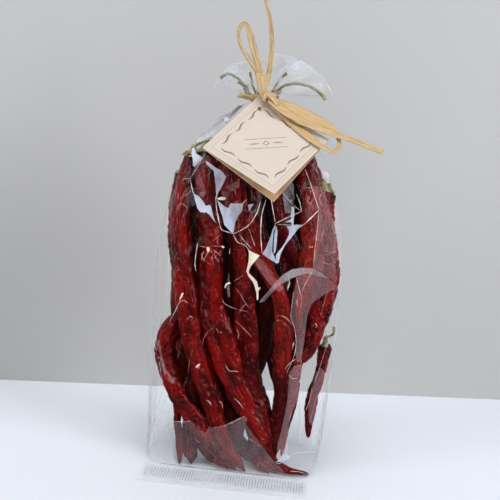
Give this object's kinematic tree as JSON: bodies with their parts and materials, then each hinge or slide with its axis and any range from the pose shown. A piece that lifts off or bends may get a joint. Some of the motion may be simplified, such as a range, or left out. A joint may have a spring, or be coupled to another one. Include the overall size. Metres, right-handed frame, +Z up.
{
  "type": "bag of dried chillies",
  "caption": "Clear gusseted bag of whole dried red chillies, standing on its base, with a raffia tie, hanging loop, bow and folded square card tag.",
  "frame": {"origin": "centre of the bag's flat base, on the surface that it stands on", "axes": "+Z up, +X to the right seen from the front, the front with the card faces -Y"},
  "size_m": [0.1164, 0.085, 0.2624],
  "materials": {
    "film": "clear glossy cellophane over dark red chillies",
    "chilli_skin": "wrinkled, glossy, deep red dried skin",
    "chilli_stem": "dry olive green stalk",
    "raffia": "flat straw-coloured palm strips with fine fibres",
    "card": "matt cream card with thin brown ruled borders"
  },
  "bodies": {
    "root": {"bag": "film", "raffia": "raffia", "tag": "card"}
  },
  "joints": []
}
